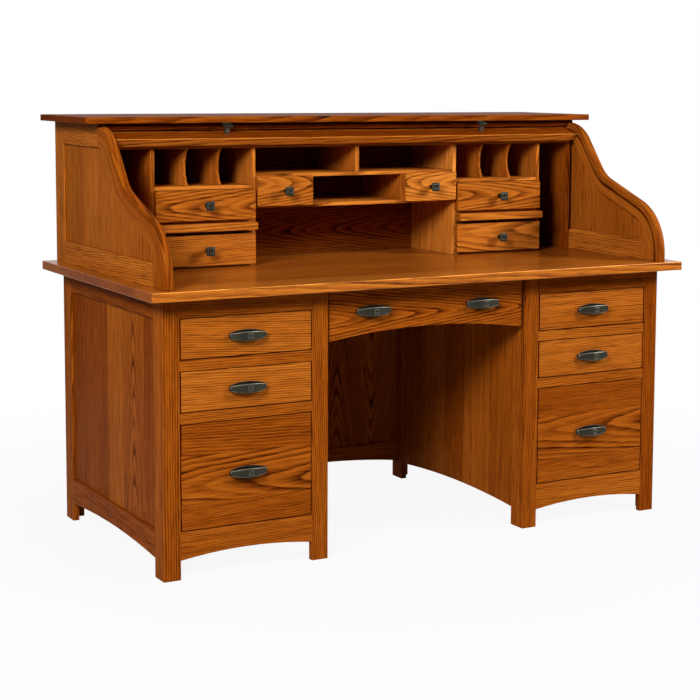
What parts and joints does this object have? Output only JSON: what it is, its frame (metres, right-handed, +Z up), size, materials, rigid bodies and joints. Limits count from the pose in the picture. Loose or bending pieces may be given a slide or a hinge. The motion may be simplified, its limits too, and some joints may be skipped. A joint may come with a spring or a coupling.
{
  "type": "roll-top desk",
  "caption": "Oak roll-top writing desk with an S-curved tambour, pigeonhole organiser, drawer pedestals beside a kneehole, pencil drawer and dark metal bow pulls.",
  "frame": {"origin": "on the floor, under the middle of the desk's bounding box", "axes": "+X to the right seen from the front, -Y to the sitter in front, +Z up"},
  "size_m": [1.684, 0.869, 1.19],
  "materials": {
    "oak": "satin stained oak",
    "panel_wood": "satin stained oak panel",
    "inner_wood": "clear-sealed inner wood",
    "pewter": "dark antique pewter"
  },
  "bodies": {
    "desk": {"bending_slats": "oak", "curved_stiles": "oak", "desk_top": "oak", "drawer_runners": "inner_wood", "face_rails": "oak", "face_stiles": "oak", "fascia": "oak", "hutch_back": "panel_wood", "hutch_side_frames": "oak", "hutch_side_panels": "oak", "hutch_top": "oak", "inner_side_panels": "oak", "letter_dividers": "oak", "modesty_panel": "oak", "organiser_back": "panel_wood", "organiser_shelves": "oak", "organiser_uprights": "oak", "outer_side_panels": "oak", "outer_side_rails": "oak", "pedestal_backs": "panel_wood", "side_stiles": "oak"},
    "left_upper_drawer": {"left_upper_drawer_front": "oak", "left_upper_drawer_box": "inner_wood", "left_upper_drawer_pull": "pewter"},
    "left_middle_drawer": {"left_middle_drawer_front": "oak", "left_middle_drawer_box": "inner_wood", "left_middle_drawer_pull": "pewter"},
    "left_deep_drawer": {"left_deep_drawer_front": "oak", "left_deep_drawer_box": "inner_wood", "left_deep_drawer_pull": "pewter"},
    "right_upper_drawer": {"right_upper_drawer_front": "oak", "right_upper_drawer_box": "inner_wood", "right_upper_drawer_pull": "pewter"},
    "right_middle_drawer": {"right_middle_drawer_front": "oak", "right_middle_drawer_box": "inner_wood", "right_middle_drawer_pull": "pewter"},
    "right_deep_drawer": {"right_deep_drawer_front": "oak", "right_deep_drawer_box": "inner_wood", "right_deep_drawer_pull": "pewter"},
    "pencil_drawer": {"pencil_drawer_front": "oak", "pencil_drawer_box": "inner_wood", "pencil_drawer_pulls": "pewter"},
    "left_lower_small_drawer": {"left_lower_small_drawer": "oak", "left_lower_small_knob": "pewter"},
    "left_upper_small_drawer": {"left_upper_small_drawer": "oak", "left_upper_small_knob": "pewter"},
    "left_centre_small_drawer": {"left_centre_small_drawer": "oak", "left_centre_small_knob": "pewter"},
    "left_pull_out_slide": {"left_pull_out_slide": "oak"},
    "right_lower_small_drawer": {"right_lower_small_drawer": "oak", "right_lower_small_knob": "pewter"},
    "right_upper_small_drawer": {"right_upper_small_drawer": "oak", "right_upper_small_knob": "pewter"},
    "right_centre_small_drawer": {"right_centre_small_drawer": "oak", "right_centre_small_knob": "pewter"},
    "right_pull_out_slide": {"right_pull_out_slide": "oak"},
    "tambour_lift": {"lift_rail": "oak", "lift_knobs": "pewter"},
    "tambour_top_run": {"top_run_slats": "oak"},
    "tambour_rear_run": {"rear_run_slats": "oak"}
  },
  "joints": [
    {"name": "left_upper_drawer_slide", "type": "slide", "parent": "desk", "child": "left_upper_drawer", "axis": [0, -1, 0], "range_m": [0, 0.42]},
    {"name": "left_middle_drawer_slide", "type": "slide", "parent": "desk", "child": "left_middle_drawer", "axis": [0, -1, 0], "range_m": [0, 0.42]},
    {"name": "left_deep_drawer_slide", "type": "slide", "parent": "desk", "child": "left_deep_drawer", "axis": [0, -1, 0], "range_m": [0, 0.42]},
    {"name": "right_upper_drawer_slide", "type": "slide", "parent": "desk", "child": "right_upper_drawer", "axis": [0, -1, 0], "range_m": [0, 0.42]},
    {"name": "right_middle_drawer_slide", "type": "slide", "parent": "desk", "child": "right_middle_drawer", "axis": [0, -1, 0], "range_m": [0, 0.42]},
    {"name": "right_deep_drawer_slide", "type": "slide", "parent": "desk", "child": "right_deep_drawer", "axis": [0, -1, 0], "range_m": [0, 0.42]},
    {"name": "pencil_drawer_slide", "type": "slide", "parent": "desk", "child": "pencil_drawer", "axis": [0, -1, 0], "range_m": [0, 0.35]},
    {"name": "left_lower_small_drawer_slide", "type": "slide", "parent": "desk", "child": "left_lower_small_drawer", "axis": [0, -1, 0], "range_m": [0, 0.15]},
    {"name": "left_upper_small_drawer_slide", "type": "slide", "parent": "desk", "child": "left_upper_small_drawer", "axis": [0, -1, 0], "range_m": [0, 0.15]},
    {"name": "left_centre_small_drawer_slide", "type": "slide", "parent": "desk", "child": "left_centre_small_drawer", "axis": [0, -1, 0], "range_m": [0, 0.15]},
    {"name": "left_pull_out_slide_slide", "type": "slide", "parent": "desk", "child": "left_pull_out_slide", "axis": [0, -1, 0], "range_m": [0, 0.15]},
    {"name": "right_lower_small_drawer_slide", "type": "slide", "parent": "desk", "child": "right_lower_small_drawer", "axis": [0, -1, 0], "range_m": [0, 0.15]},
    {"name": "right_upper_small_drawer_slide", "type": "slide", "parent": "desk", "child": "right_upper_small_drawer", "axis": [0, -1, 0], "range_m": [0, 0.15]},
    {"name": "right_centre_small_drawer_slide", "type": "slide", "parent": "desk", "child": "right_centre_small_drawer", "axis": [0, -1, 0], "range_m": [0, 0.15]},
    {"name": "right_pull_out_slide_slide", "type": "slide", "parent": "desk", "child": "right_pull_out_slide", "axis": [0, -1, 0], "range_m": [0, 0.15]},
    {"name": "tambour_roll", "type": "hinge", "parent": "desk", "child": "tambour_lift", "pos_m": [0, 0.07392, 1.034], "axis": [1, 0, 0], "range_deg": [0, 29], "deforming": ["bending_slats"]},
    {"name": "tambour_top_run_slide", "type": "slide", "parent": "desk", "child": "tambour_top_run", "axis": [0, -1, 0], "range_m": [0, 0.055]},
    {"name": "tambour_rear_run_slide", "type": "slide", "parent": "desk", "child": "tambour_rear_run", "axis": [0, 0, 1], "range_m": [0, 0.055]}
  ],
  "couplings": [
    {"joint": "tambour_top_run_slide", "follows": "tambour_roll", "m_per_rad": 0.108},
    {"joint": "tambour_rear_run_slide", "follows": "tambour_roll", "m_per_rad": 0.108}
  ]
}
